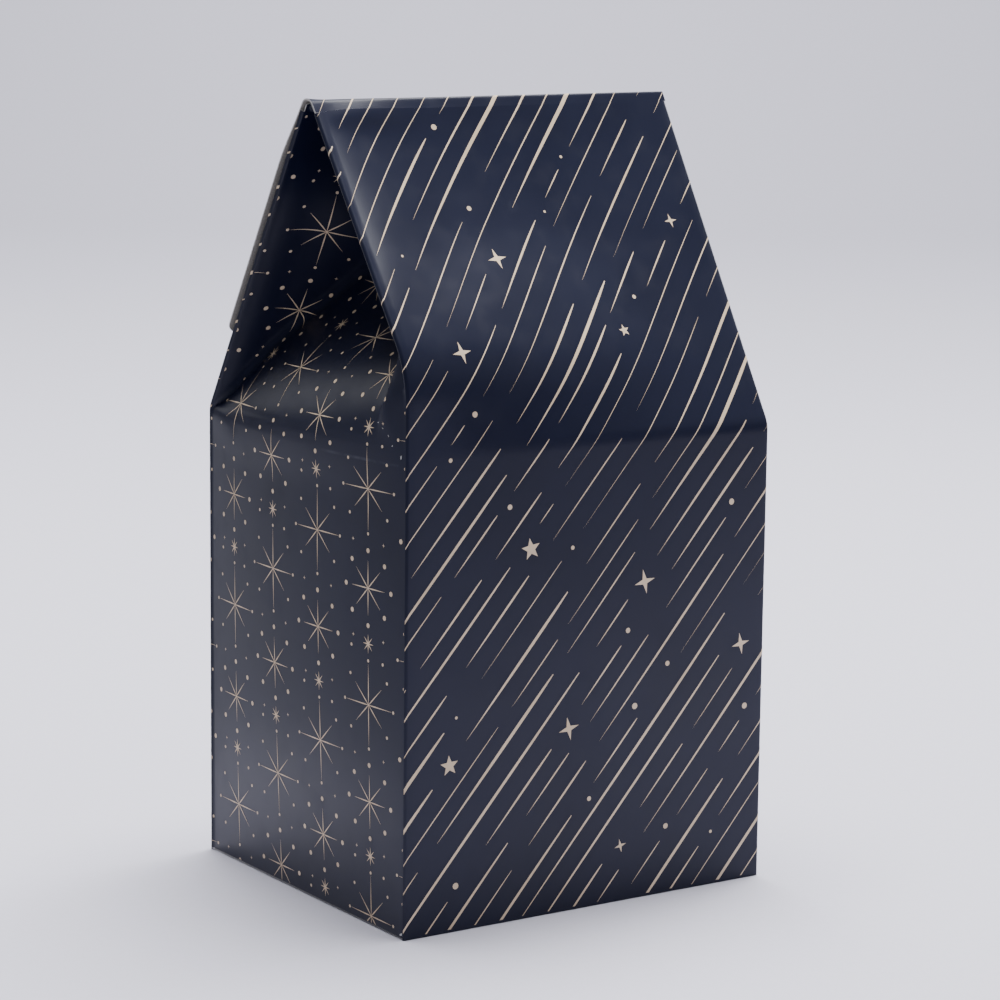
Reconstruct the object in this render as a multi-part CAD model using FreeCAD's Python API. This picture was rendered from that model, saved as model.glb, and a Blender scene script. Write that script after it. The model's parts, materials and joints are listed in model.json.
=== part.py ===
import FreeCAD, Part
import math
import os

# A gable gift box folded from one sheet of coated board, closed.
# Frame: +Z up, X along the ridge, front face towards -Y, origin at the middle of the base. Millimetres.
# The front wall bends softly into the front roof panel, and higher at the left end than at the right.
# At each end the board is folded in: a central panel leans in to the ridge between two wings, which
# lie against the inside of the roof panels and are joined to them by a U-turn along the roof edge.

# ---- driving dimensions -------------------------------------------------------------------------
carton_width = 130.0          # along the ridge, over both side walls
carton_depth = 115.0          # over the front and back walls
overall_height = 238.0        # table to the top of the ridge
board = 0.5                   # thickness of the sheet
wing_gap = 0.7                # air between a roof panel and the wing folded against it
ridge_radius = 1.3            # outside radius of the fold over the ridge
flap_clearance = 0.3          # running clearance of the closure flap, on its seat and round its fold

# Where each roof panel leaves the vertical, and the inside radius of that bend's printed face.
front_left_bend = {"start": 156.0, "radius": 30.0}
front_right_bend = {"start": 137.0, "radius": 20.0}
back_bend = {"start": 138.5, "radius": 8.0}

# The same for the central panel of each gusset, at its front and back edges.
left_gusset_front_bend = {"start": 154.0, "radius": 16.0}
left_gusset_back_bend = {"start": 138.5, "radius": 10.0}
right_gusset_bend = {"start": 138.5, "radius": 12.0}

flap_length = 84.0            # ridge to free edge, along the back slope
flap_corner_radius = 3.0
flap_fold_start_deg = 195.0   # where the rolled fold begins, from +Y, on the front side of the ridge

base_fold_radius = 0.4        # outside radius of the folds between walls and base
dust_flap_depth = 40.0        # base: end flaps, folded in first
back_base_flap_depth = 38.0   # base: back flap, between the end flaps
base_play = 0.3               # base: gap round the cut edges of the outer panel
base_flap_relief = 1.5        # base: gap between neighbouring inner flaps

glue_tab_width = 15.0         # inside glue tab, on the right wall beside the back corner
glue_tab_bottom = 4.0
glue_tab_taper = 6.0          # height of the slanted cut at each end of the tab

# ---- worked out from them -----------------------------------------------------------------------
half_width = carton_width / 2
half_depth = carton_depth / 2
fold_radius = board + wing_gap / 2        # the U-turn along a roof edge, and the wall corners
wing_outer = board + wing_gap             # depth of a wing's face under the printed face
wing_inner = wing_outer + board
hinge_height = overall_height - ridge_radius
seat_radius = ridge_radius - board - flap_clearance   # hinge to the printed face of the back slope
apex_x = half_width - half_depth          # where a gusset's point meets the ridge
roof_foot = min(back_bend["start"], front_right_bend["start"], right_gusset_bend["start"]) - 5.0
far = carton_width + carton_depth + overall_height    # longer than anything in the model

V = FreeCAD.Vector


# ---- bent outlines ------------------------------------------------------------------------------
def lean_angle(bend, touch):
    """Angle from the vertical of the slope that follows a bend and passes `touch` above the hinge."""
    along = half_depth - bend["radius"]
    rise = hinge_height - bend["start"]
    reach = math.hypot(along, rise)
    return math.acos((touch - bend["radius"]) / reach) - math.atan2(rise, along)


def bent_points(bend, touch, depth_in):
    """Foot, bend start, mid-bend, bend end and top as (out, z), `depth_in` under the printed face."""
    lean = lean_angle(bend, touch)
    radius = bend["radius"] - depth_in
    centre = half_depth - bend["radius"]

    def on_bend(angle):
        return centre + radius * math.cos(angle), bend["start"] + radius * math.sin(angle)

    over = touch - depth_in
    top = (over * math.cos(lean), hinge_height + over * math.sin(lean))
    return [(centre + radius, roof_foot), on_bend(0), on_bend(lean / 2), on_bend(lean), top]


def bent_edges(points, place):
    """Line, arc and line through the five points, put in space by `place`."""
    foot, start, middle, end, top = [place(*p) for p in points]
    return [
        Part.makeLine(foot, start),
        Part.Arc(start, middle, end).toShape(),
        Part.makeLine(end, top),
    ]


def sheet_wire(bend, touch, outer, inner, place):
    """Closed section of a bent sheet between two depths under its printed face."""
    face = bent_points(bend, touch, outer)
    back = bent_points(bend, touch, inner)
    return Part.Wire(
        bent_edges(face, place)
        + [Part.makeLine(place(*face[-1]), place(*back[-1]))]
        + bent_edges(back, place)[::-1]
        + [Part.makeLine(place(*back[0]), place(*face[0]))]
    )


def between(first, second):
    """Solid ruled from one closed section to another."""
    return Part.makeLoft([first, second], True, True)


def across_roof(x, side):
    """Places (out, z) in the plane at x, towards the front (side -1) or the back (side 1)."""
    return lambda out, z: V(x, side * out, z)


def along_end(y, end):
    """Places (out, z) in the plane at y, towards the left end (end -1) or the right end (end 1)."""
    return lambda out, z: V(end * (apex_x + out), y, z)


# ---- roof panels --------------------------------------------------------------------------------
roof_bends = {-1: (front_left_bend, front_right_bend), 1: (back_bend, back_bend)}
roof_touch = {-1: ridge_radius, 1: seat_radius}


def roof_sheet(side, outer, inner, edge=0.0):
    """The sheet of one roof panel between two depths, from `edge` inside the left end to the right."""
    left, right = roof_bends[side]
    touch = roof_touch[side]
    x = half_width - edge
    return between(
        sheet_wire(left, touch, outer, inner, across_roof(-x, side)),
        sheet_wire(right, touch, outer, inner, across_roof(x, side)),
    )


def roof_edge(side, end):
    """The U-turn fold along a roof edge, down to the wall corner under it."""
    bend = roof_bends[side][0 if end < 0 else 1]
    x = end * (half_width - fold_radius)
    path = Part.Wire(bent_edges(bent_points(bend, roof_touch[side], fold_radius), across_roof(x, side)))
    foot = V(x, side * (half_depth - fold_radius), roof_foot)
    disc = Part.Face(Part.Wire(Part.makeCircle(fold_radius, foot, V(0, 0, 1))))
    return path.makePipe(disc)


def ridge_meeting(front, depth_in):
    """Where the front and back slopes, `depth_in` under their printed faces, meet as (y, z)."""
    f = lean_angle(front, roof_touch[-1])
    b = lean_angle(back_bend, roof_touch[1])
    over_f = roof_touch[-1] - depth_in
    over_b = roof_touch[1] - depth_in
    spread = math.sin(f + b)
    y = (over_b * math.sin(f) - over_f * math.sin(b)) / spread
    rise = (over_b * math.cos(f) + over_f * math.cos(b)) / spread
    return y, hinge_height + rise


def inside_wire(x, front, depth_in):
    """Closed section of the space between the roof panels at x."""
    front_points = bent_points(front, roof_touch[-1], depth_in)
    back_points = bent_points(back_bend, roof_touch[1], depth_in)
    y, z = ridge_meeting(front, depth_in)
    front_points[-1] = (-y, z)
    back_points[-1] = (y, z)
    front_side = across_roof(x, -1)
    back_side = across_roof(x, 1)
    return Part.Wire(
        bent_edges(front_points, front_side)
        + bent_edges(back_points, back_side)[::-1]
        + [Part.makeLine(back_side(*back_points[0]), front_side(*front_points[0]))]
    )


def between_roof_panels(depth_in):
    return between(
        inside_wire(-half_width, front_left_bend, depth_in),
        inside_wire(half_width, front_right_bend, depth_in),
    )


# ---- gussets ------------------------------------------------------------------------------------
gusset_bends = {
    -1: (left_gusset_front_bend, left_gusset_back_bend),
    1: (right_gusset_bend, right_gusset_bend),
}


def gusset_panel(end, room):
    """Central panel of one end: up from the side wall, over its bend and in to the ridge."""
    front, back = gusset_bends[end]
    sheet = between(
        sheet_wire(front, 0.0, 0.0, board, along_end(-half_depth, end)),
        sheet_wire(back, 0.0, 0.0, board, along_end(half_depth, end)),
    )
    return sheet.common(room)


def recess_room(end):
    """All the space outside the middle of a gusset's central panel."""
    sections = []
    for y, bend in zip((-half_depth, half_depth), gusset_bends[end]):
        place = along_end(y, end)
        points = bent_points(bend, 0.0, board / 2)
        outside = [place(far, points[-1][1]), place(far, points[0][1])]
        sections.append(
            Part.Wire(
                bent_edges(points, place)
                + [
                    Part.makeLine(place(*points[-1]), outside[0]),
                    Part.makeLine(outside[0], outside[1]),
                    Part.makeLine(outside[1], place(*points[0])),
                ]
            )
        )
    return between(*sections)


def gusset_wing(side, end):
    """The triangle of board that lies under one roof panel, out to the crease of the central panel."""
    return roof_sheet(side, wing_outer, wing_inner, fold_radius).common(recess_room(end))


# ---- walls and base -----------------------------------------------------------------------------
def rounded_block(inset, low, high, radius):
    """Upright block `inset` inside the printed faces of the walls, with rounded corners."""
    block = Part.makeBox(
        carton_width - 2 * inset,
        carton_depth - 2 * inset,
        high - low,
        V(inset - half_width, inset - half_depth, low),
    )
    upright = [e for e in block.Edges if abs(e.tangentAt(e.FirstParameter).z) > 0.5]
    return block.makeFillet(radius, upright)


def walls():
    outside = rounded_block(0.0, 0.0, roof_foot, fold_radius)
    foot = [e for e in outside.Edges if e.BoundBox.ZMax < base_fold_radius]
    outside = outside.makeFillet(base_fold_radius, foot)
    return outside.cut(rounded_block(board, -board, roof_foot + board, fold_radius - board))


def plate(x0, x1, y0, y1, low):
    return Part.makeBox(x1 - x0, y1 - y0, board, V(x0, y0, low))


def base():
    """Outer panel folded from the front wall, over end flaps and a back flap folded in before it."""
    wall_x = half_width - board / 2
    wall_y = half_depth - board / 2
    play = board + base_play
    outer = plate(play - half_width, half_width - play, -wall_y, half_depth - play, 0.0)
    side_y = half_depth - play
    reach = half_width - board - dust_flap_depth
    dust = [
        plate(-wall_x, -reach, -side_y, side_y, board),
        plate(reach, wall_x, -side_y, side_y, board),
    ]
    back_x = reach - base_flap_relief
    back = plate(-back_x, back_x, wall_y - back_base_flap_depth, wall_y, board)
    return outer.fuse(dust + [back])


def glue_tab():
    """Tab folded from the back wall and stuck to the inside of the right wall."""
    back = half_depth - board / 2
    front = back - glue_tab_width
    top = roof_foot
    corners = [
        (back, glue_tab_bottom),
        (front, glue_tab_bottom + glue_tab_taper),
        (front, top - glue_tab_taper),
        (back, top),
    ]
    x = half_width - 2 * board
    outline = [V(x, y, z) for y, z in corners]
    return Part.Face(Part.makePolygon(outline + outline[:1])).extrude(V(1.5 * board, 0, 0))


# ---- the two pieces -----------------------------------------------------------------------------
def carton():
    room = between_roof_panels((wing_outer + wing_inner) / 2)
    pieces = [base(), glue_tab()]
    for side in (-1, 1):
        pieces.append(roof_sheet(side, 0.0, board, fold_radius))
        for end in (-1, 1):
            pieces.append(roof_edge(side, end))
            pieces.append(gusset_wing(side, end))
    for end in (-1, 1):
        pieces.append(gusset_panel(end, room))
    whole = walls().fuse(pieces)
    clear_of_fold = Part.makeCylinder(
        ridge_radius + flap_clearance, carton_width, V(-half_width, 0, hinge_height), V(1, 0, 0)
    )
    return whole.cut(clear_of_fold).removeSplitter()


def closure_flap():
    """Sheet rolled over the ridge and laid down the back slope, with rounded free corners."""
    lean = lean_angle(back_bend, seat_radius)

    def on_fold(radius, angle):
        return V(-half_width, radius * math.cos(angle), hinge_height + radius * math.sin(angle))

    def rolled(radius):
        start = math.radians(flap_fold_start_deg)
        return Part.Arc(
            on_fold(radius, start), on_fold(radius, (start + lean) / 2), on_fold(radius, lean)
        ).toShape()

    inner_radius = ridge_radius - board
    down = V(0, math.sin(lean), -math.cos(lean)) * flap_length
    start = math.radians(flap_fold_start_deg)
    outer_end = on_fold(ridge_radius, lean) + down
    inner_end = on_fold(inner_radius, lean) + down
    section = Part.Wire(
        [
            rolled(ridge_radius),
            Part.makeLine(on_fold(ridge_radius, lean), outer_end),
            Part.makeLine(outer_end, inner_end),
            Part.makeLine(inner_end, on_fold(inner_radius, lean)),
            rolled(inner_radius),
            Part.makeLine(on_fold(inner_radius, start), on_fold(ridge_radius, start)),
        ]
    )
    flap = Part.Face(section).extrude(V(carton_width, 0, 0))
    free_z = (outer_end.z + inner_end.z) / 2

    def is_free_corner(edge):
        return abs(edge.Length - board) < board / 10 and abs(edge.CenterOfMass.z - free_z) < board / 10

    return flap.makeFillet(flap_corner_radius, [e for e in flap.Edges if is_free_corner(e)])


os.makedirs("parts", exist_ok=True)
for name, shape in {"carton": carton(), "closure_flap": closure_flap()}.items():
    print(name, "solids", len(shape.Solids), "valid", shape.isValid(), "volume", round(shape.Volume, 1))
    shape.exportStep(f"parts/{name}.step")
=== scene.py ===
# %% [markdown]
# # A gable gift box, folded from one printed sheet
# The real object is a sheet of coated board that is printed, cut, creased and folded. It could be modelled as
# a box with bevelled edges, but then the soft bends and the folded-in ends would be guesswork. So this lesson
# makes it as it is really made. It says where each point of the flat sheet, or blank, ends up when the box is
# folded, and prints the blank flat. Every mark then follows the fold.

import json
import math

import bmesh
import bpy
import numpy as np
from mathutils import Matrix, Vector

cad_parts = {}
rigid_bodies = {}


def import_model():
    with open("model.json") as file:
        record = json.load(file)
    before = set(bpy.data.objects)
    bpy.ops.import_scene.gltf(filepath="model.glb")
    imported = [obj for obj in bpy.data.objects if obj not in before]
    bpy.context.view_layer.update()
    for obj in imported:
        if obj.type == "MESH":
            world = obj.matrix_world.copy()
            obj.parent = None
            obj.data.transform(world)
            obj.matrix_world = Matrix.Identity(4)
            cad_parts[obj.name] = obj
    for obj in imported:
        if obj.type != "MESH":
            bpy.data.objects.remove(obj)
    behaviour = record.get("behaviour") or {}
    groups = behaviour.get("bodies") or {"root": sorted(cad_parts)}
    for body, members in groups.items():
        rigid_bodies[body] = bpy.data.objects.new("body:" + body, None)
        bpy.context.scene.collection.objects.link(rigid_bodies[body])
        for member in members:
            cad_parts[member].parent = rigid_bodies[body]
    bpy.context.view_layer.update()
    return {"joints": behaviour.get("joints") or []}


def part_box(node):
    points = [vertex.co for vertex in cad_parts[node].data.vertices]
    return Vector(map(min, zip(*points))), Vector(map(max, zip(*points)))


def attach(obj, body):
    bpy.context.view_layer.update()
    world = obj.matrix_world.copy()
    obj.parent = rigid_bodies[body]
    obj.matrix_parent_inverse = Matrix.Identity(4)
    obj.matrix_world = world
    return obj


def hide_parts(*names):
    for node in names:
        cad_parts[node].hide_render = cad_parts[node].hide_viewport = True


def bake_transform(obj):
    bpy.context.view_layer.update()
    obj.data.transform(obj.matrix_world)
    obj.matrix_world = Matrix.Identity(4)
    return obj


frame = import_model()

# %% [markdown]
# The frame is in metres, and board is easier to think about in millimetres. So the sizes of the box below are
# in millimetres, and a mesh is turned into metres only when it is made. The overall sizes are read from the
# frame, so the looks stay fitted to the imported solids.

# %% Sizes from the frame
MM = 0.001
carton_low, carton_high = [np.array(corner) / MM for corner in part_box("carton")]
HALF_WIDTH = (carton_high[0] - carton_low[0]) / 2
HALF_DEPTH = (carton_high[1] - carton_low[1]) / 2
HINGE = frame["joints"][0]["pos_m"][2] / MM
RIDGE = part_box("closure_flap")[1][2] / MM - HINGE     # outside radius of the fold over the ridge
print("half width", HALF_WIDTH, "half depth", HALF_DEPTH, "hinge", HINGE, "ridge radius", round(RIDGE, 3))

# %% Sizes of the board
BOARD = 0.5          # thickness
FOLD = 0.85          # printed radius of every folded edge
HALF_FOLD = 1.0      # width of blank on each side of a folded edge that goes round its bend
SEAT = 0.5           # from the hinge line to the back slope
INSET = 0.2          # the corners stand in by this, because the walls bulge between them
BELLY = 0.7          # bulge of the front and back walls
CREASE = 138.5       # height of the creased line round the walls
SLOPE = 112.5        # crease to just under the ridge, where the flap piece takes over
TOP = CREASE + SLOPE
WIDTH, DEPTH = 2 * HALF_WIDTH, 2 * HALF_DEPTH
FRONT_LEFT = {"start": 156.0, "radius": 30.0, "touch": 4.9}
FRONT_RIGHT = {"start": 139.2, "radius": 9.0, "touch": RIDGE}
BACK_LEFT = {"start": 139.5, "radius": 8.0, "touch": 1.4}
BACK_RIGHT = {"start": 138.5, "radius": 8.0, "touch": SEAT}
print("walls", CREASE, "mm high, the sheet turns over the ridge from", TOP, "mm up")

# %% [markdown]
# A roof panel is a wall that bends over. Its section is a straight foot, a round bend and a straight slope
# that just touches the fold over the ridge. One function gives how far out and how high a point of the
# sheet is from the length of sheet below it. The left end of the front bends higher and rounder than the
# right, so the front panel is a slightly twisted surface, ruled between two such sections.

# %% Sections of the roof
def smooth(low, high, x):
    """0 at low and 1 at high, smooth between."""
    t = np.clip((x - low) / (high - low), 0, 1)
    return t * t * (3 - 2 * t)


def slope_lean(bend):
    """How far the slope leans in from upright, so that it passes the hinge line at the touch distance."""
    along = HALF_DEPTH - bend["radius"]
    rise = HINGE - bend["start"]
    return math.acos((bend["touch"] - bend["radius"]) / math.hypot(along, rise)) - math.atan2(rise, along)


def section(q, bend):
    """Out, height and lean of the printed face, q up the sheet."""
    lean = slope_lean(bend)
    radius, start = bend["radius"], bend["start"]
    angle = np.clip((q - start) / radius, 0, lean)
    rest = np.maximum(q - start - radius * lean, 0)
    out = HALF_DEPTH - radius + radius * np.cos(angle) - rest * math.sin(lean)
    z = np.minimum(q, start) + radius * np.sin(angle) + rest * math.cos(lean)
    return out, z, angle


SECTIONS = {
    "front left": FRONT_LEFT, "front right": FRONT_RIGHT, "back left": BACK_LEFT, "back right": BACK_RIGHT,
}
for label, bend in SECTIONS.items():
    print(label, "leans", round(math.degrees(slope_lean(bend)), 1), "degrees")

# %% [markdown]
# The front panel doesn't stop at the ridge. It turns over it and goes down the back slope as the closure
# flap. At the right end that turn is a sharp crease. At the left end it is a wide, soft one, and the flap's
# corner springs away from the back slope, as board does that has been opened and closed. So the section of
# each end is worked out as three straight runs, softened where they meet, and the panel is blended between
# the two.

# %% The front panel, from the table to the flap's free end
FLAP_REACH = 86.2    # ridge corner to free end, down the back slope
FLAP_END = 341.0     # the same end on the blank


def over_ridge(bend, soft=3.5, spring=0.0):
    """Table of q, y and z from just under the ridge to the flap's free end, at one end of the panel."""
    lead, step = 10.0, 0.1    # how far below the ridge the table starts, and its spacing
    lean, back = slope_lean(bend), slope_lean(BACK_RIGHT)
    down = np.array([math.sin(back), -math.cos(back)])
    away = np.array([math.cos(back), math.sin(back)])
    apex = RIDGE * away - down * RIDGE / math.tan(back)
    apex = np.array([apex[0], apex[1] + HINGE])
    out, z, _ = section(np.array([TOP - lead]), bend)
    start = np.array([-out[0], z[0]])
    rise = apex[1] - 0.2 - start[1] if spring else (apex[0] - start[0]) / math.tan(lean)
    corner = start + rise * np.array([math.tan(lean), 1.0])
    stops = [start, corner, apex, apex + down * (FLAP_REACH + lead)]
    lengths = np.cumsum([0] + [np.linalg.norm(b - a) for a, b in zip(stops, stops[1:])])
    along = np.arange(0, lengths[-1], step)
    path = np.stack([np.interp(along, lengths, [p[i] for p in stops]) for i in (0, 1)], -1)
    path += away * (spring * smooth(0, 25, along - lengths[2]))[:, None]
    half = int(soft / step)
    window = np.cos(np.linspace(-np.pi / 2, np.pi / 2, 2 * half + 1)) ** 2
    padded = np.pad(path, ((half, half), (0, 0)), mode="reflect", reflect_type="odd")
    path = np.stack([np.convolve(padded[:, i], window / window.sum(), "valid") for i in (0, 1)], -1)
    q = TOP + (along - lead) * (FLAP_END - TOP) / (lengths[2] + FLAP_REACH - lead)
    return q, path[:, 0], path[:, 1]


OVER_LEFT, OVER_RIGHT = over_ridge(FRONT_LEFT, spring=2.2), over_ridge(FRONT_RIGHT, soft=1.6)


def front_end(bend, over, q):
    """y and z of one end of the front panel and flap, q up the sheet."""
    out, z, _ = section(q, bend)
    y = np.where(q <= TOP, -out, np.interp(q, over[0], over[1]))
    return y, np.where(q <= TOP, z, np.interp(q, over[0], over[2]))


FAN_TILT = 0.38      # how steeply the board turns in beside the left folded edge
INSIDE_ROOF = 1.0    # the folded-in ends stay this far inside the roof
ROOF_ROWS = np.arange(CREASE - 10, TOP, 0.5)
GAP_ROWS = np.arange(CREASE, TOP + 1)
END_GAP = section(GAP_ROWS, FRONT_LEFT)[0] - section(GAP_ROWS, FRONT_RIGHT)[0]


def left_weight(share, q):
    """How far a point follows the left end's section and not the right's.

    Beside the left edge a fan of board turns in steeply, and past it the panel twists slowly. fan is the
    width of that fan as a share of the panel, widest half way up and narrow above and below.
    """
    fan = 0.045 + 0.085 * np.sin(np.pi * np.clip((q - CREASE - 30) / (SLOPE - 30), 0, 1) ** 1.4)
    depth = FAN_TILT * fan * WIDTH * smooth(CREASE + 26, CREASE + 74, q)
    steep = depth / np.maximum(np.interp(q, GAP_ROWS, END_GAP), 0.5)
    return (1 - steep) * (1 - share) ** 1.1 + steep * np.exp(-share / fan)


def front_y_at(share, z):
    """y of the front roof at a height, so that nothing inside comes through it."""
    ends = [section(ROOF_ROWS, bend) for bend in (FRONT_LEFT, FRONT_RIGHT)]
    left, right = [np.interp(z, end[1], -end[0]) for end in ends]
    return right + (left - right) * left_weight(share, np.interp(z, ends[1][1], ROOF_ROWS))


def back_y_at(share, z):
    """The same for the back roof."""
    ends = [section(ROOF_ROWS, bend) for bend in (BACK_LEFT, BACK_RIGHT)]
    left, right = [np.interp(z, end[1], end[0]) for end in ends]
    return left + (right - left) * share


def belly(share, q):
    """How far a wall between two upright edges bulges, nothing at its edges."""
    return BELLY * 4 * share * (1 - share) * np.sin(np.pi * np.clip(q / CREASE, 0, 1)) ** 2


def front_face(share, q):
    """y and z of the front panel and flap, share from 0 at the left end to 1 at the right."""
    left_y, left_z = front_end(FRONT_LEFT, OVER_LEFT, q)
    right_y, right_z = front_end(FRONT_RIGHT, OVER_RIGHT, q)
    left = left_weight(share, q)
    y = right_y + (left_y - right_y) * left
    z = right_z + (left_z - right_z) * left
    # the soft turn at the ridge's left end stands up a little, like the corner of a pillow
    pillow = np.exp(-(((q - TOP + 1.5) / 4.5) ** 2) - ((share - 0.11) / 0.11) ** 2) * smooth(0, 0.06, share)
    stands_out, stands_up = 0.8, 0.5
    return y - stands_out * pillow - belly(share, q), z + stands_up * pillow


flap_end_y = front_face(np.array([1.0]), np.array([FLAP_END]))[0][0]
print("flap ends", round(float(flap_end_y), 1), "mm back")

# %% [markdown]
# The folded-in ends are the hard part. Paper doesn't stretch, so each level of the side, from the back edge
# to the front edge, keeps its length while the roof edges come together. What is spare has to go inwards:
# in along the back wing, across the central panel and out along the front wing. The class below finds, for
# each level, how deep the panel goes so that the level is as long as the blank. A cloth simulation could find
# this too, but it stretches and wrinkles board, and it is hard to steer to one certain fold. At the left end
# the front edge bends late, so a flat facet is left beside it and the board buckles behind that facet.

# %% Levels of a folded-in end
def softened(shape, x, half):
    """The shape averaged over half to each side of x, which rounds its bends off."""
    steps = np.linspace(-1, 1, 9)
    weights = np.cos(steps * np.pi / 2) ** 2
    return sum(w * shape(x + h * half) for h, w in zip(steps, weights / weights.sum()))


class Gusset:
    """One folded-in end. t is the height above the creased line, along the sheet.

    wing_off is how many degrees the back wing stands off the slope, facet the width of the flat strip beside
    the front edge, bulge and shoulder how far wall and panel swell, and soft the rounding of the back crease.
    With lag, the panel's front crease stays behind its back one at first, so the panel lies askew.
    """

    def __init__(self, front, back, wing_off, bulge, facet=0.0, lag=False, shoulder=0.0, soft=10.0):
        self.front, self.back, self.soft, self.bulge, self.shoulder = front, back, soft, bulge, shoulder
        self.t = t = np.arange(0, SLOPE + 4, 0.2)
        late = front["start"] - CREASE        # how far above the creased line the front bends over
        stand_off = 4                         # degrees that the front wing stands off the slope
        closing = smooth(70, SLOPE, t)        # towards the ridge both wings close up against the slopes
        self.back_turn = np.radians(90 + (90 - wing_off) * smooth(-1, 5, t))
        self.back_turn += np.radians(wing_off) * closing
        self.front_turn = np.radians(90 + (90 - stand_off) * smooth(late - 1, late + 12, t))
        self.front_turn += np.radians(stand_off) * closing
        peak, gone = 0.83 * late if facet else 1.0, late + 17       # where the facet is widest and ends
        self.facet = facet * np.clip(np.minimum(t / peak, (gone - t) / (gone - peak)), 0, 1)
        self.lag = smooth(0, 62, t) if lag else np.ones_like(t)
        self.ends = [self.edge(self.back, self.back_turn, 1), self.edge(self.front, self.front_turn, -1)]
        self.solve()

    def edge(self, bend, turn, side):
        """Where the side leaves the folded edge: depth, y and z."""
        out, z, lean = section(CREASE + self.t, bend)
        sunk = FOLD * (1 - np.cos(turn))
        return FOLD * (1 - np.sin(turn)), side * (out - sunk * np.cos(lean)), z - sunk * np.sin(lean)

    def solve(self):
        """Find how deep each level goes by halving, then how high its creases lie."""
        (_, back_y, _), (_, front_y, _) = self.ends
        back_lean = np.pi - self.back_turn
        front_lean = np.pi - self.front_turn
        settled_lean = back_lean[25]    # its value 5 mm up, which it eases towards from the crease
        back_lean = np.where(self.t < 5, settled_lean * smooth(0, 12, self.t), back_lean)
        front_lean = np.minimum(front_lean, np.radians(4))
        total = DEPTH - FOLD * (self.back_turn + self.front_turn) / 2
        deepest = 80.0                  # no level goes in further than this
        low, high = np.zeros_like(self.t), np.full_like(self.t, deepest)
        for _ in range(40):
            deep = (low + high) / 2
            less = deep * self.lag
            y1 = back_y - deep * np.tan(back_lean)
            y2 = front_y + self.facet + less * np.tan(front_lean)
            length = deep / np.cos(back_lean) + np.hypot(y1 - y2, deep - less)
            length += less / np.cos(front_lean) + self.facet
            low, high = np.where(length < total, deep, low), np.where(length < total, high, deep)
        self.deep = [deep, less]
        self.across = [y1, y2]
        step = self.t[1]
        climbs = [np.sqrt(np.maximum(step**2 - np.diff(d) ** 2, 0)) for d in self.deep]
        self.high = [CREASE + np.append(0, np.cumsum(climb)) for climb in climbs]

    def level(self, t):
        """The corners of a level, and how far along it each of them is."""

        def at(values):
            return np.interp(t, self.t, values)

        (bx, by, bz), (fx, fy, fz) = self.ends
        corners = [
            (at(bx), at(by), at(bz)),
            (at(self.deep[0]), at(self.across[0]), at(self.high[0])),
            (at(self.deep[1]), at(self.across[1]), at(self.high[1])),
            (at(fx), at(fy) + at(self.facet), at(fz)),
            (at(fx), at(fy), at(fz)),
        ]
        corners = [np.stack(c, -1) for c in corners]
        runs = [np.linalg.norm((b - a)[..., :2], axis=-1) for a, b in zip(corners, corners[1:])]
        reach = [np.zeros_like(t)]
        for run in runs:
            reach.append(reach[-1] + run)
        return corners, runs, reach

    def back_crease(self, t):
        """Where the crease between back wing and central panel lies on the blank, from the back edge."""
        reach = self.level(t)[2]
        return HALF_FOLD + (DEPTH - 2 * HALF_FOLD) * reach[1] / reach[-1]

    def point(self, s, q):
        """Printed face, s from the back edge and q up the sheet, as depth inwards, y and z."""
        s, q = np.broadcast_arrays(s, q)
        t = np.clip(q - CREASE, 0, SLOPE + 3.8)
        corners, runs, reach = self.level(t)
        share = np.clip((s - HALF_FOLD) / (DEPTH - 2 * HALF_FOLD), 0, 1)
        along = share * reach[-1]

        def on_level(u):
            p = corners[0]
            for start, run, a, b in zip(reach, runs, corners, corners[1:]):
                p = p + (b - a) * np.clip((u - start) / np.maximum(run, 1e-6), 0, 1)[..., None]
            return p

        at_facet = np.exp(-(((along - reach[3]) / 5) ** 2)) * (np.interp(t, self.t, self.facet) > 0.1)
        # bends are rounded over 4 mm, over soft at the back crease, and less beside the facet
        blur = 4 + (self.soft - 4) * np.exp(-(((along - reach[1]) / 14) ** 2))
        blur = blur * (1 - 0.8 * at_facet)
        blur = np.minimum(blur, np.minimum(along, reach[-1] - along))
        p = softened(on_level, along, blur)
        p[..., 2] = np.where(q < CREASE, q, p[..., 2])
        # the wall's bulge is full from 118 mm up and gone at 172, and the shoulder swells past the crease
        wall = np.sin(np.pi / 2 * np.clip(q / 118, 0, 1)) * (1 - smooth(136, 172, q))
        shoulder = smooth(CREASE - 12, CREASE + 16, q) * (1 - smooth(CREASE + 18, CREASE + 62, q))
        p[..., 0] -= (self.bulge * wall + self.shoulder * shoulder) * 4 * share * (1 - share)
        return p

    def soft_point(self, s, q):
        """The same face with its bend along the creased line rounded off, most in the middle."""
        s, q = np.broadcast_arrays(s, q)
        middle = smooth(0, 22, s) * smooth(0, 22, DEPTH - s)
        near = smooth(CREASE - 18, CREASE - 2, q) * (1 - smooth(CREASE + 12, CREASE + 45, q))
        p = softened(lambda row: self.point(s, row), q, 14 * middle * near)
        share = np.clip(p[..., 0] / WIDTH, 0, 1)
        limit = front_y_at(share if self.front is FRONT_LEFT else 1 - share, p[..., 2])
        limit = limit + INSIDE_ROOF
        p[..., 1] = np.where((q > CREASE) & (p[..., 0] > 2), np.maximum(p[..., 1], limit), p[..., 1])
        return p


left_end = Gusset(
    FRONT_LEFT, BACK_LEFT, wing_off=21.0, bulge=3.4, facet=12.5, lag=True, shoulder=3.4, soft=2.0
)
right_end = Gusset(FRONT_RIGHT, BACK_RIGHT, wing_off=6.0, bulge=0.6)
for label, end in {"left": left_end, "right": right_end}.items():
    print(label, "end is", round(float(end.deep[0][300]), 1), "mm deep 60 mm above the crease")

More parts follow.
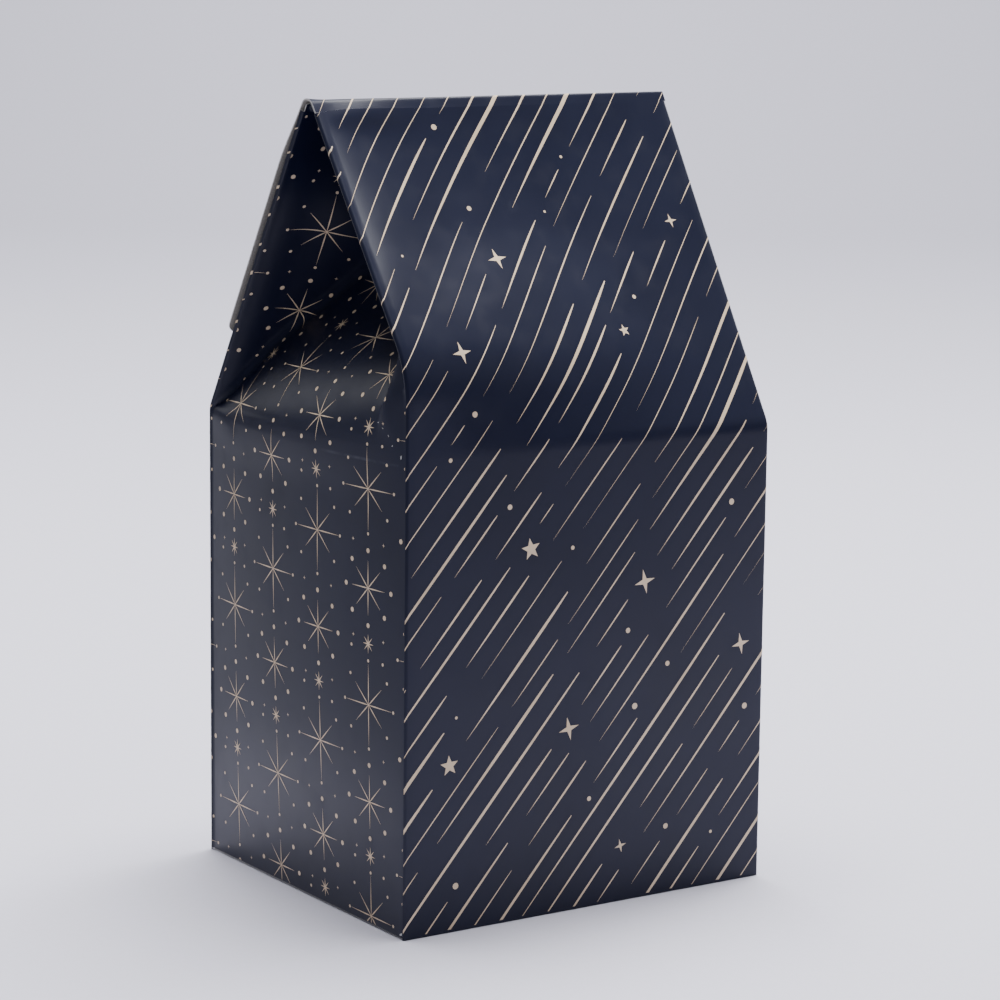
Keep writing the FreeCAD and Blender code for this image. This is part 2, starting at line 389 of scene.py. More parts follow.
# %% [markdown]
# Now the whole blank can be folded. Going round the box, u runs over the left side, the front, the right
# side and the back, and q runs up the sheet from the table. Near each of the four folded edges the sheet goes
# round a small tube, a quarter turn on the walls and nearly a half turn on the roof.

# %% Panels and folded edges
FRONT_U, RIGHT_U, BACK_U, ROUND_U = DEPTH, DEPTH + WIDTH, 2 * DEPTH + WIDTH, 2 * (DEPTH + WIDTH)
CORNER = HALF_WIDTH - INSET
print("round the box:", [round(v, 1) for v in (FRONT_U, RIGHT_U, BACK_U, ROUND_U)])


def broad_panel(u, q):
    """Front or back wall with its roof panel: u across it from its left edge."""
    front = u.mean() < BACK_U
    x = u - FRONT_U - HALF_WIDTH if front else BACK_U + HALF_WIDTH - u
    share = np.clip(x / (2 * (HALF_WIDTH - HALF_FOLD)) + 0.5, 0, 1)
    x = x * (CORNER - FOLD) / (HALF_WIDTH - HALF_FOLD)
    if front:
        y, z = front_face(share, q)
    else:
        (left_y, left_z, _), (right_y, right_z, _) = section(q, BACK_LEFT), section(q, BACK_RIGHT)
        y = left_y + (right_y - left_y) * share
        z = left_z + (right_z - left_z) * share
        y = y + belly(share, q)
    return np.stack(np.broadcast_arrays(x, y, z), -1)


def folded_edge(gusset, end, bend, side, around, q):
    """The bend along an upright edge: around is 0 on the broad panel and 1 on the side."""
    out, z, lean = section(q, bend)
    turn = np.interp(q - CREASE, gusset.t, gusset.back_turn if side > 0 else gusset.front_turn)
    angle = around * np.where(q < CREASE, np.pi / 2, turn)
    lift = FOLD * (np.cos(angle) - 1)
    x = end * (CORNER - FOLD + FOLD * np.sin(angle))
    return np.stack(np.broadcast_arrays(x, side * (out + lift * np.cos(lean)), z + lift * np.sin(lean)), -1)


def end_panel(gusset, end, s, q):
    """A side with its folded-in part: s across it from its back edge."""
    p = gusset.soft_point(s, q)
    p[..., 0] = end * (CORNER - p[..., 0])
    return p


# %% [markdown]
# The levels of a folded-in end each have the right length, but board keeps its length up the sheet as well.
# So the points of a side are settled once more, from the wall up: each comes to lie as far from the one below
# as it does on the blank. Nothing may come through the roof, so that is a limit.

# %% Keep the length up the sheet
def settled(p, q):
    """Board keeps its length up the sheet too, so heights above the wall follow from depth and y."""
    wall_top, under_ridge = CREASE - 14, HINGE - 1.5
    least_rise = 0.3     # of the way up the sheet, however far a point also goes in
    step, in_x, in_y = [np.diff(v, axis=0) ** 2 for v in (q, p[..., 0], p[..., 1])]    # all squared
    rise = np.sqrt(np.maximum(step - in_x - in_y, least_rise**2 * step))
    height = np.where(q < wall_top, p[..., 2], 0)
    for k in range(1, len(q)):
        height[k] = np.where(q[k] < wall_top, p[k, :, 2], height[k - 1] + rise[k - 1])
    share = np.linspace(0, 1, p.shape[1])
    off = p[..., 2] - height
    height += off[:, :1] * (1 - share) + off[:, -1:] * share
    inner = (q > CREASE) & (share > 0.02) & (share < 0.98)
    p[..., 2] = np.where(inner, np.minimum(height, under_ridge), height)
    across = np.clip(p[..., 0] / WIDTH + 0.5, 0, 1)
    front = front_y_at(across, p[..., 2]) + INSIDE_ROOF
    back = back_y_at(across, p[..., 2]) - INSIDE_ROOF
    p[..., 1] = np.where(inner, np.clip(p[..., 1], np.minimum(front, 0), np.maximum(back, 0)), p[..., 1])
    return p


# %% [markdown]
# The blank is folded strip by strip: four narrow ones for the folded edges and four wide ones for the panels.
# Rows and columns lie closer where the board bends more.

# %% Fold the strips
def fold_strip(u, q):
    """Printed face of one strip of the blank, a bend or a panel: u is a row and q a column of places."""
    mid = (u.min() + u.max()) / 2
    edges = {0.0: (left_end, -1, BACK_LEFT, 1), FRONT_U: (left_end, -1, FRONT_LEFT, -1)}
    edges |= {RIGHT_U: (right_end, 1, FRONT_RIGHT, -1), BACK_U: (right_end, 1, BACK_RIGHT, 1)}
    for line, (gusset, end, bend, side) in edges.items():
        if abs(mid - line) < HALF_FOLD:
            around = (u - line + HALF_FOLD) / (2 * HALF_FOLD)
            to_side = line in (0.0, RIGHT_U)
            return folded_edge(gusset, end, bend, side, around if to_side else 1 - around, q)
    if mid < FRONT_U:
        return settled(end_panel(left_end, -1, u, q), q)
    if RIGHT_U < mid < BACK_U:
        return settled(end_panel(right_end, 1, BACK_U - u, q), q)
    return broad_panel(u, q)


def rows_between(first, *stops):
    """Heights from first up, from (to, step) pairs."""
    rows = [first]
    for to, step in stops:
        count = max(1, round((to - rows[-1]) / step))
        rows += list(np.linspace(rows[-1], to, count + 1)[1:])
    return np.array(rows)


FOOT = 0.9           # the folded strips start this far up, above the bends into the base
SHEET_ROWS = rows_between(FOOT, (110, 5), (137, 3), (146, 0.75), (178, 1.6), (240, 2), (TOP, 0.8))
WING_TOPS = {"left": TOP + 3.0, "right": 246.0}   # the ends stop where the slopes leave no more room
strips = []
for line in (0.0, FRONT_U, RIGHT_U, BACK_U):
    width = WIDTH if line in (FRONT_U, BACK_U) else DEPTH
    strips.append(np.linspace(line - HALF_FOLD, line + HALF_FOLD, 9))
    columns = 97 if line == 0 else 49
    strips.append(np.linspace(line + HALF_FOLD, line + width - HALF_FOLD, columns))
folded = []
for u in strips:
    rows = SHEET_ROWS
    if 2 < u.mean() < FRONT_U - 2:
        rows = np.append(rows, np.arange(TOP + 0.8, WING_TOPS["left"], 0.8))
    elif RIGHT_U + 2 < u.mean() < BACK_U - 2:
        rows = rows[rows < WING_TOPS["right"]]
    points = fold_strip(u[None, :], rows[:, None])
    folded.append((points, u + ROUND_U if u.mean() < 1 else u, rows))
print("strips", len(folded), "points", sum(p[0].shape[0] * p[0].shape[1] for p in folded))

# %% [markdown]
# ## The sheet as a mesh
# The strips above are grids, so they become one mesh face by face, and their seams are merged. Its UV map is
# the blank itself, one unit to a metre, so anything that is placed on the flat sheet can be found again on
# the folded box. The base is closed the plain way: the front wall turns under into a full plate, and the
# other three walls turn in above it.

# %% Base of the box
BEND = 0.4           # outside radius of those bends
TURN_IN = 12.0       # how far the left, right and back walls turn in
PLATE = DEPTH - 1.6  # how far the front wall's plate reaches back
print("base: bends of", BEND, "mm, plate", round(PLATE, 1), "mm deep")


def foot_rows(points, inward, low, reach):
    """Rows of points that take a wall's lowest row round a bend at height low and in by reach."""
    first = points[0]
    rows = [first - np.array([0, 0, FOOT - low - BEND])]
    for angle in np.radians([30, 60, 90]):
        shift = inward * BEND * (1 - math.cos(angle)) - np.array([0, 0, 1]) * BEND * math.sin(angle)
        rows.append(rows[0] + shift)
    rows.append(rows[-1] + inward * reach)
    return np.stack(rows[::-1])


def bottom_patches():
    """The turned-in base, and the last stretch of the four upright edges."""
    left, front, right, back = [folded[i] for i in (1, 3, 5, 7)]
    patches = []
    for strip, inward, low, reach in (
        (left, (1, 0, 0), BOARD, TURN_IN),
        (front, (0, 1, 0), 0.0, PLATE),
        (right, (-1, 0, 0), BOARD, TURN_IN),
        (back, (0, -1, 0), BOARD, TURN_IN),
    ):
        points, u, rows = strip
        under = foot_rows(points, np.array(inward, float), low, reach)
        # on the blank they run on down past the foot, where nothing is printed
        below = FOOT - np.array([0.5, 0.7, 0.9, 1.1, 1.1 + reach])[::-1]
        patches.append((np.concatenate([under, points[:1]]), u, np.append(below, rows[0])))
    for points, u, rows in folded[0::2]:
        foot = points[:1] - np.array([0, 0, FOOT - 0.05])
        patches.append((np.concatenate([foot, points[:1]]), u, np.array([0.05, rows[0]])))
    return patches


# %% Patches to one mesh
def mesh_from(bm, name):
    """A finished mesh from a bmesh, which is freed."""
    mesh = bpy.data.meshes.new(name)
    bm.to_mesh(mesh)
    bm.free()
    return mesh


def new_object(name, data):
    """A new object in the scene for a mesh, a light or a camera."""
    made = bpy.data.objects.new(name, data)
    bpy.context.scene.collection.objects.link(made)
    return made


def sheet_mesh(name, patches, weld=0.03):
    """One mesh of grid patches, with the blank's u and q as its UV map."""
    bm = bmesh.new()
    uv = bm.loops.layers.uv.new("Sheet")
    for points, u, rows in patches:
        grid = [[bm.verts.new(Vector(p) * MM) for p in row] for row in points]
        for i in range(len(rows) - 1):
            for j in range(len(u) - 1):
                corners = ((i, j), (i, j + 1), (i + 1, j + 1), (i + 1, j))
                face = bm.faces.new([grid[a][b] for a, b in corners])
                face.smooth = True
                for loop, (a, b) in zip(face.loops, corners):
                    loop[uv].uv = (u[b] * MM, rows[a] * MM)
    bmesh.ops.remove_doubles(bm, verts=bm.verts, dist=weld * MM)
    return new_object(name, mesh_from(bm, name))


box_sheet = sheet_mesh("box_sheet", folded + bottom_patches())
print("box sheet has", len(box_sheet.data.polygons), "faces")

# %% [markdown]
# The closure flap could be a plate with a hinge, but on the real box it is the same panel, past the ridge. So
# its points come from the same function, and fold and print run on over the ridge without a seam. It is its
# own mesh, because on the real box it moves. Its free corners are rounded.

# %% The closure flap
FREE_CORNER = 3.0    # radius of the free corners
TURNED = TOP + 14    # the flap has gone round the ridge here
FLAP_ROWS = np.concatenate([
    np.arange(TOP, TURNED, 0.5),
    np.linspace(TURNED, FLAP_END - FREE_CORNER, 26),
    FLAP_END - FREE_CORNER + FREE_CORNER * np.sin(np.radians(np.linspace(0, 90, 9)))[1:],
])
FLAP_COLUMNS = np.linspace(0, 1, 49)


def flap_points(share, q):
    """Printed face of the flap: share is 0 at the left end and 1 at the right."""
    share, q = np.broadcast_arrays(share, q)
    tail = np.clip(q - (FLAP_END - FREE_CORNER), 0, FREE_CORNER)
    half = CORNER - (FREE_CORNER - np.sqrt(np.maximum(FREE_CORNER**2 - tail**2, 0)))
    x = (2 * share - 1) * half
    y, z = front_face(np.clip(x / (2 * (CORNER - FOLD)) + 0.5, 0, 1), q)
    return np.stack([x, y, z], -1)


points = flap_points(FLAP_COLUMNS[None, :], FLAP_ROWS[:, None])
flap_sheet = sheet_mesh("flap_sheet", [(points, FRONT_U + WIDTH * FLAP_COLUMNS, FLAP_ROWS)], weld=0.001)
print("flap reaches down to", round(float(points[..., 2].min()), 1))

# %% [markdown]
# ## The board and the ink
# The board is coated white card, printed a very dark navy and given a satin finish. Up close it isn't even:
# the coating has a fine grain, the ink varies a little, and handling leaves faint duller patches. A picture
# texture could show that, but patterns worked out in nodes stay sharp at any distance. The same two functions
# make and feed shader nodes and Geometry Nodes.

# %% Make and feed nodes
def feed(tree, node, sockets):
    """Set or link a node's sockets, named in words (as Base_Color) or by number (as s0)."""
    for key, value in sockets.items():
        if key[1:].isdigit():
            socket = node.inputs[int(key[1:])]
        else:
            socket = next(s for s in node.inputs if s.enabled and s.name == key.replace("_", " "))
        value = value.socket if isinstance(value, Value) else value
        if isinstance(value, bpy.types.NodeSocket):
            tree.links.new(value, socket)
        else:
            socket.default_value = value


def add(tree, kind, settings=None, **sockets):
    """One node: its settings first, then the values or links of its sockets."""
    node = tree.nodes.new(kind)
    for key, value in (settings or {}).items():
        setattr(node, key, value)
    feed(tree, node, sockets)
    return node


# %% [markdown]
# Shader maths is easier to read as an expression, so one small class wraps a socket and lets Python's own
# operators add the Math nodes. A second one holds a material while it is made.

# %% Shader maths
class Value:
    """A number that changes over a surface, with operators that add Math nodes."""

    def __init__(self, paint, socket):
        self.paint, self.socket = paint, socket

    def maths(self, operation, first, second):
        node = self.paint.node("ShaderNodeMath", {"operation": operation}, s0=first, s1=second)
        return Value(self.paint, node.outputs[0])

    def __add__(self, other):
        return self.maths("ADD", self, other)

    def __sub__(self, other):
        return self.maths("SUBTRACT", self, other)

    def __rsub__(self, other):
        return self.maths("SUBTRACT", other, self)

    def __mul__(self, other):
        return self.maths("MULTIPLY", self, other)

    __radd__, __rmul__ = __add__, __mul__

    def ramp(self, low, high):
        """0 at low and 1 at high, smooth between."""
        smooth_step = {"interpolation_type": "SMOOTHSTEP"}
        node = self.paint.node("ShaderNodeMapRange", smooth_step, Value=self, From_Min=low, From_Max=high)
        return Value(self.paint, node.outputs[0])

    def band(self, low, high, edge):
        """1 between low and high, fading to 0 over edge outside them."""
        return self.ramp(low - edge, low) * (1 - self.ramp(high, high + edge))


class Paint:
    """A material under construction."""

    def __init__(self, name):
        self.material = bpy.data.materials.new(name)
        self.material.use_nodes = True
        self.tree = self.material.node_tree
        self.tree.nodes.clear()
        self.shader = self.node("ShaderNodeBsdfPrincipled")
        self.node("ShaderNodeOutputMaterial", Surface=self.shader.outputs[0])
        self.where = self.node("ShaderNodeTexCoord").outputs["Object"]

    def node(self, kind, settings=None, **sockets):
        return add(self.tree, kind, settings, **sockets)

    def set(self, **sockets):
        feed(self.tree, self.shader, sockets)

    def parts(self, vector):
        """The first two numbers of a vector."""
        node = self.node("ShaderNodeSeparateXYZ", Vector=vector)
        return [Value(self, out) for out in node.outputs[:2]]

    def noise(self, size, detail):
        """Soft random patches of about this size in millimetres."""
        node = self.node("ShaderNodeTexNoise", Vector=self.where, Scale=1 / (size * MM), Detail=detail)
        return Value(self, node.outputs[0])

    def blend(self, mask, first, second):
        return self.node("ShaderNodeMix", {"data_type": "RGBA"}, Factor=mask, A=first, B=second).outputs[2]

    def bump(self, height, depth, strength):
        """Relief of this depth in millimetres."""
        node = self.node("ShaderNodeBump", Strength=strength, Distance=depth * MM, Height=height)
        self.set(Normal=node.outputs[0])


# %% [markdown]
# The folding leaves two marks in the coating of the left end. Along the creased line, towards the front, the
# ink has cracked to a thin broken pale line. In the recess, the crease between back wing and central panel is
# crushed, so it is rougher and has no gloss. Where that crease runs is worked out from the folded end itself,
# and a quadratic through it is short enough for shader maths.

# %% Marks of the folding
def scored_line(u, q, handling):
    """The broken pale line along the crease of the left side, which fades out towards the back."""
    towards_front = u.ramp(72, 84) * (1 - u.ramp(FRONT_U - 6, FRONT_U - 3))
    return q.band(CREASE, CREASE, 0.7) * towards_front * handling.ramp(0.35, 0.6)


RISES = np.arange(10.0, 95.0, 5.0)
CREASE_RUN = [float(v) for v in np.polyfit(RISES, left_end.back_crease(RISES), 2)]
print("crushed crease: u is", [round(v, 4) for v in CREASE_RUN], "times rise squared, rise and 1")


def crushed_crease(u, q):
    """The rough strip along the back crease of the left recess, 9 mm wide with soft sides."""
    rise = q - CREASE
    off = u - ((CREASE_RUN[0] * rise + CREASE_RUN[1]) * rise + CREASE_RUN[2])
    return off.band(-1.5, 1.5, 3) * rise.ramp(6, 14) * (1 - rise.ramp(84, 100))


# %% Navy satin board
def navy_board():
    """Dark navy print with a satin coating, and the marks of the folding in it."""
    paint = Paint("navy_satin_board")
    grain, cloud, handling = paint.noise(0.35, 3.0), paint.noise(38.0, 2.0), paint.noise(9.0, 4.0)
    blank = paint.node("ShaderNodeUVMap", {"uv_map": "Sheet"}).outputs[0]
    u, q = [place * (1 / MM) for place in paint.parts(blank)]
    scored = scored_line(u, q, handling)
    navy = paint.blend(cloud.ramp(0.3, 0.7), (0.0040, 0.0058, 0.0210, 1), (0.0054, 0.0076, 0.0255, 1))
    navy = paint.blend(scored * 0.35, navy, (0.12, 0.125, 0.16, 1))
    roughness = 0.29 + 0.06 * cloud + 0.06 * handling.ramp(0.45, 0.75) + 0.55 * crushed_crease(u, q)
    paint.set(Base_Color=navy, Roughness=roughness, Specular_IOR_Level=0.24)
    paint.bump(grain + 0.8 * scored, 0.012, 0.5)
    return paint.material


# %% [markdown]
# The inner face and the cut edges are the bare card itself, dull and a little fibrous. The ink is a pale gold
# that isn't metallic: real metal would flash and go dark by turns, and this ink looks the same from all
# sides. So each is a plain rough paint with a little unevenness.

# %% Bare board and gold ink
def bare_board(name, light, dark):
    """The uncoated side of the board and its cut edges."""
    paint = Paint(name)
    fibre = paint.noise(0.5, 4.0)
    paint.set(Base_Color=paint.blend(fibre.ramp(0.35, 0.7), dark, light), Roughness=0.85 + 0.1 * fibre)
    paint.bump(fibre, 0.03, 0.4)
    return paint.material


def gold_ink():
    """Flat pale gold ink. It isn't metallic, and it takes some of the board's own unevenness."""
    paint = Paint("pale_gold_ink")
    speck, patch = paint.noise(0.4, 3.0), paint.noise(24.0, 1.0)
    colour = paint.blend(patch.ramp(0.3, 0.7), (0.62, 0.48, 0.33, 1), (0.70, 0.55, 0.39, 1))
    paint.set(Base_Color=colour, Roughness=0.42 + 0.14 * speck, IOR=1.45)
    paint.bump(speck, 0.01, 0.3)
    return paint.material


navy = navy_board()
inner_board = bare_board("uncoated_inner_board", (0.32, 0.305, 0.28, 1), (0.26, 0.25, 0.23, 1))
cut_edge = bare_board("white_cut_edge", (0.62, 0.61, 0.60, 1), (0.50, 0.49, 0.48, 1))
gold = gold_ink()
print("materials", [m.name for m in (navy, inner_board, cut_edge, gold)])

# %% [markdown]
# ## The print
# Two patterns are printed in pale gold. The side panels have an all-over lattice of eight-rayed starbursts,
# with dots and sparkles between them. The front and back have long slanting streaks with a few small stars.
# Both are flat shapes that repeat, so each motif is drawn once and Geometry Nodes sets copies of it on a list
# of points, each with its own turn and size. The list holds positions on the blank. The print could be a
# shader pattern instead, but as a mesh it has clean edges and its shape is kept when the box is exported.

# %% Flat motifs
def motif(name, outlines):
    """A flat mesh in millimetres from closed outlines."""
    bm = bmesh.new()
    for outline in outlines:
        bm.faces.new([bm.verts.new((x, y, 0)) for x, y in outline])
    motifs.objects.link(bpy.data.objects.new(name, mesh_from(bm, name)))


def disc(x, y, radius, sides=10):
    """A round dot with straight edges."""
    turns = np.arange(sides) * 2 * math.pi / sides
    return [(x + radius * math.cos(a), y + radius * math.sin(a)) for a in turns]


def pointed_star(points, outer, inner):
    """A star whose outline goes to and fro between two radii."""
    turns = np.pi / 2 + np.arange(2 * points) * math.pi / points
    radii = np.where(np.arange(2 * points) % 2, inner, outer)
    return [(r * math.cos(a), r * math.sin(a)) for r, a in zip(radii, turns)]


def ray(x, y, thick):
    """A spindle from the middle towards (x, y), thickest a quarter of the way out."""
    length = math.hypot(x, y)
    profile = [(s, thick * w / 2 / length) for s, w in ((0.0, 0.35), (0.25, 1.0), (0.6, 0.6), (1.0, 0.12))]
    right, left = [[(s * x + side * w * y, s * y - side * w * x) for s, w in profile] for side in (1, -1)]
    return right + left[::-1]


def burst(up, across, slant, thick, cross_stop, slant_stop, dot):
    """Eight rays that stop short of dots of radius dot: up, across and slant are where the dots are."""
    tips = [(0, up), (0, -up), (across, 0), (-across, 0)]
    tips += [(i * slant[0], j * slant[1]) for i in (1, -1) for j in (1, -1)]
    shapes = []
    for x, y in tips:
        reach = slant_stop if x and y else cross_stop
        shapes.append(ray(x * reach, y * reach, thick))
        if dot:
            shapes.append(disc(x, y, dot))
    return shapes


motifs = bpy.data.collections.new("motifs")
bpy.context.scene.collection.children.link(motifs)
stops = np.append(np.linspace(0.02, 0.9, 11), (0.95, 0.985))
WIDEST = 0.385       # the largest value of s * sqrt(1 - s), so that a streak's widest place is 1
widths = [(s, s * (1 - s) ** 0.5 / WIDEST) for s in stops]
streak = [(s - 0.5, w / 2) for s, w in widths] + [(s - 0.5, -w / 2) for s, w in widths[::-1]]
MOTIFS = {    # the first letters keep this order, which is the order Pick Instance counts in
    "a_wide_burst": burst(13.1, 12.0, (9.0, 8.0), 0.42, 0.93, 0.72, 0.5),
    "b_dotted_burst": burst(11.0, 10.8, (7.8, 7.5), 0.42, 0.73, 0.73, 0.75),
    "c_small_burst": burst(3.0, 2.7, (1.9, 1.9), 0.45, 0.93, 1.0, 0),
    "d_sparkle": [pointed_star(4, 0.62, 0.2)],
    "e_dot": [disc(0, 0, 0.5)],
    "f_streak": [streak],
    "g_four_point_star": [pointed_star(4, 3.8, 1.05)],
    "h_five_point_star": [pointed_star(5, 3.2, 1.35)],
    "i_chip": [[(0.5, -0.1), (0.25, 0.3), (-0.15, 0.24), (-0.5, 0.1), (-0.3, -0.26), (0.1, -0.3)]],
}
for name, outlines in MOTIFS.items():
    motif(name, outlines)
KIND = {name[2:]: index for index, name in enumerate(sorted(MOTIFS))}
print("motifs", KIND)

# %% [markdown]
# The starburst lattice is regular: columns 26 mm apart, each repeating every 63.5 mm, and each column a
# quarter of a repeat higher than the one before it. The streaks are not regular. They lie in slanting lanes,
# and along a lane the lengths, widths and gaps vary, so they come from a seeded random generator. A streak
# stops short of a star and goes on behind it.

# %% Starbursts on the blank
REPEAT, COLUMN = 63.5, 26.0
FIRST_BURST = (97.1, 130.0)      # a wide burst in column 3, from the back edge and up the sheet
LATTICE_CELL = (                 # the marks of one repeat: kind, across and up from its wide burst
    ("wide_burst", 0, 0), ("dotted_burst", 0, -29.0), ("small_burst", 0, -45.4),
    ("sparkle", -7.3, -15.5), ("sparkle", 7.3, -15.5), ("sparkle", 7.3, -43.7), ("sparkle", -7.3, -43.7),
    ("dot", 7.0, -50.3), ("dot", -8.3, -46.9),
)
OVERLAP = 14                     # marks are kept this far past the panel, so that none is missing at its edge


def side_marks(first_u, mirrored):
    """The starburst lattice of one side panel, as (kind, u, q, turn, size) rows."""
    rows = []
    for column in range(-1, 6):
        for repeat in range(-3, 4):
            across = FIRST_BURST[0] + COLUMN * (column - 3)
            up = FIRST_BURST[1] + REPEAT * repeat + REPEAT / 4 * (column - 3)
            for kind, off, rise in LATTICE_CELL:
                s, q = across + off, up + rise
                if -OVERLAP < s < DEPTH + OVERLAP and -OVERLAP < q < TOP + OVERLAP:
                    rows.append((KIND[kind], first_u + (DEPTH - s if mirrored else s), q, 0.0, (1.0,) * 3))
    return rows


def chips():
    """Spots on the left front edge and foot where the print has chipped off the white board."""
    spots = (    # how far in front of the box's middle, how high up the sheet, and how wide
        (44.0, 149.9, 0.8), (46.7, 148.5, 0.7), (49.4, 146.6, 0.8), (51.1, 143.9, 0.7), (54.8, 141.0, 1.3),
    )
    # the first number turns the spot as well, so that no two lie alike
    rows = [(KIND["chip"], HALF_DEPTH + y, q, y, (size, 0.6 * size, 1.0)) for y, q, size in spots]
    return rows + [(KIND["chip"], FRONT_U - 1.6, 1.7, 0.4, (2.0, 1.1, 1.0))]


print("a side has", len(side_marks(0, False)), "marks and", len(chips()), "chips")

# %% Streaks and stars on the blank
SLANT = math.radians(49)
LANE = 6.7           # from one lane of streaks to the next
STAR_CLEAR, DOT_CLEAR = 6.2, 3.2      # no streak comes nearer than this
STAR_ROOM, STAR_TO_DOT, DOT_ROOM = 36, 13, 15      # how far apart stars and dots stay
STARS_PER_AREA, DOTS_PER_AREA = 0.26, 0.56         # in a thousand square millimetres
LENGTHS, LENGTH_ODDS = ((24, 60), (60, 105), (105, 150)), (0.35, 0.4, 0.25)
WIDTHS, WIDTH_ODDS = ((0.28, 0.5), (0.65, 1.0), (1.1, 1.6)), (0.45, 0.33, 0.22)
STAR_SIZES = ((0.55, 0.72), (0.85, 1.05))
SHORTEST = 7         # a shorter rest of a streak is left out


def pick(rng, ranges, odds=None):
    """A random number from one of a few ranges."""
    return rng.choice([rng.uniform(low, high) for low, high in ranges], p=odds)


def scatter_apart(rng, count, low, high, apart, others=()):
    """Random points that keep their distance from one another."""
    found = []
    while len(found) < count:
        spot = low + (high - low) * rng.random(2)
        rooms = [(p, apart) for p in found] + [(p, STAR_TO_DOT) for p in others]
        if all(np.hypot(*(spot - p)) > room for p, room in rooms):
            found.append(spot)
    return found


def cut_round(cuts, middle, half):
    """The stretches that are left when each is cut between middle - half and middle + half."""
    halves = [piece for a, b in cuts for piece in ((a, min(b, middle - half)), (max(a, middle + half), b))]
    return [(a, b) for a, b in halves if b - a > SHORTEST]


def streak_marks(first_u, high_q, seed):
    """Streaks, stars and dots of one broad panel, as (kind, u, q, turn, size) rows."""
    rng = np.random.default_rng(seed)
    low, high = np.array([first_u + 7, 8.0]), np.array([first_u + WIDTH - 7, high_q - 8])
    area = (high_q * WIDTH) / 1000
    stars = scatter_apart(rng, round(area * STARS_PER_AREA), low, high, STAR_ROOM)
    dots = scatter_apart(rng, round(area * DOTS_PER_AREA), low, high, DOT_ROOM, stars)
    rows = []
    for i, (u, q) in enumerate(stars):
        kind = "five_point_star" if i % 4 == 3 else "four_point_star"
        turn = math.radians(rng.uniform(4, 14))
        rows.append((KIND[kind], u, q, turn, (pick(rng, STAR_SIZES),) * 3))
    rows += [(KIND["dot"], u, q, 0.0, (rng.uniform(0.8, 2.3),) * 3) for u, q in dots]
    along = np.array([math.cos(SLANT), math.sin(SLANT)])
    across = np.array([-along[1], along[0]])
    corners = [np.array([u, q]) for u in (first_u, first_u + WIDTH) for q in (0, high_q)]
    span, reach = [[way @ corner for corner in corners] for way in (across, along)]
    clear_of = [(p, STAR_CLEAR) for p in stars] + [(p, DOT_CLEAR) for p in dots]
    for lane in np.arange(min(span), max(span), LANE):
        lane = lane + rng.uniform(-0.9, 0.9)
        s = min(reach) - rng.uniform(0, 90)
        while s < max(reach):
            length, width = pick(rng, LENGTHS, LENGTH_ODDS), pick(rng, WIDTHS, WIDTH_ODDS)
            cuts = [(s, s + length)]
            for spot, clear in clear_of:
                off = abs(across @ spot - lane)
                if off < clear:
                    cuts = cut_round(cuts, along @ spot, math.sqrt(clear**2 - off**2) + 1.5)
            for a, b in cuts:
                u, q = along * (a + b) / 2 + across * lane
                slim = min(width, 0.25 + (b - a) / 80)      # a short streak is a thin one
                rows.append((KIND["streak"], u, q, SLANT, (b - a, slim, 1.0)))
            s += length + rng.uniform(4, 9)
    return rows


# %% [markdown]
# The node tree is short. Instance on Points picks a motif by the point's kind, turns it and scales it, and
# Realize Instances makes the copies real, because instances would be lost when the box is exported.

# %% Helpers for node trees
def new_tree(name, inputs):
    """A geometry node group with a geometry input and output, and the named inputs."""
    tree = bpy.data.node_groups.new(name, "GeometryNodeTree")
    tree.interface.new_socket("Geometry", in_out="OUTPUT", socket_type="NodeSocketGeometry")
    tree.interface.new_socket("Geometry", in_out="INPUT", socket_type="NodeSocketGeometry")
    for label, kind in inputs.items():
        tree.interface.new_socket(label, in_out="INPUT", socket_type="NodeSocket" + kind)
    return tree


def finished(tree, geometry, material):
    """The end of every tree here: copies made real, then the material."""
    real = add(tree, "GeometryNodeRealizeInstances", Geometry=geometry).outputs[0]
    done = add(tree, "GeometryNodeSetMaterial", Geometry=real, Material=material).outputs[0]
    add(tree, "NodeGroupOutput", Geometry=done)
    return tree


def applied(obj):
    """The object's mesh with its modifiers applied."""
    depsgraph = bpy.context.evaluated_depsgraph_get()
    return bpy.data.meshes.new_from_object(obj.evaluated_get(depsgraph), depsgraph=depsgraph)


def grown(mesh, tree, **values):
    """Run a tree on a mesh and return the result as a plain mesh."""
    obj = new_object(mesh.name, mesh)
    modifier = obj.modifiers.new(tree.name, "NODES")
    modifier.node_group = tree
    for item in tree.interface.items_tree:
        if item.in_out == "INPUT" and item.name in values:
            modifier[item.identifier] = values[item.name]
    obj.update_tag()
    result = applied(obj)
    bpy.data.objects.remove(obj)
    return result


def named(tree, name, kind):
    """A named attribute of the geometry."""
    return add(tree, "GeometryNodeInputNamedAttribute", {"data_type": kind}, Name=name).outputs[0]


# %% Geometry Nodes: set motifs on the points
def scatter_tree():
    """The tree that sets a motif on each point, by the point's kind, turn and size."""
    tree = new_tree("Set motifs on points", {"Motifs": "Collection", "Material": "Material"})
    source = add(tree, "NodeGroupInput").outputs
    kinds = add(
        tree, "GeometryNodeCollectionInfo",
        Collection=source["Motifs"], Separate_Children=True, Reset_Children=True,
    ).outputs[0]
    turn = add(tree, "ShaderNodeCombineXYZ", Z=named(tree, "turn", "FLOAT")).outputs[0]
    copies = add(
        tree, "GeometryNodeInstanceOnPoints", Points=source["Geometry"],
        Instance=kinds, Pick_Instance=True, Instance_Index=named(tree, "kind", "INT"),
        Rotation=turn, Scale=named(tree, "size", "FLOAT_VECTOR"),
    )
    return finished(tree, copies.outputs[0], source["Material"])


set_motifs = scatter_tree()


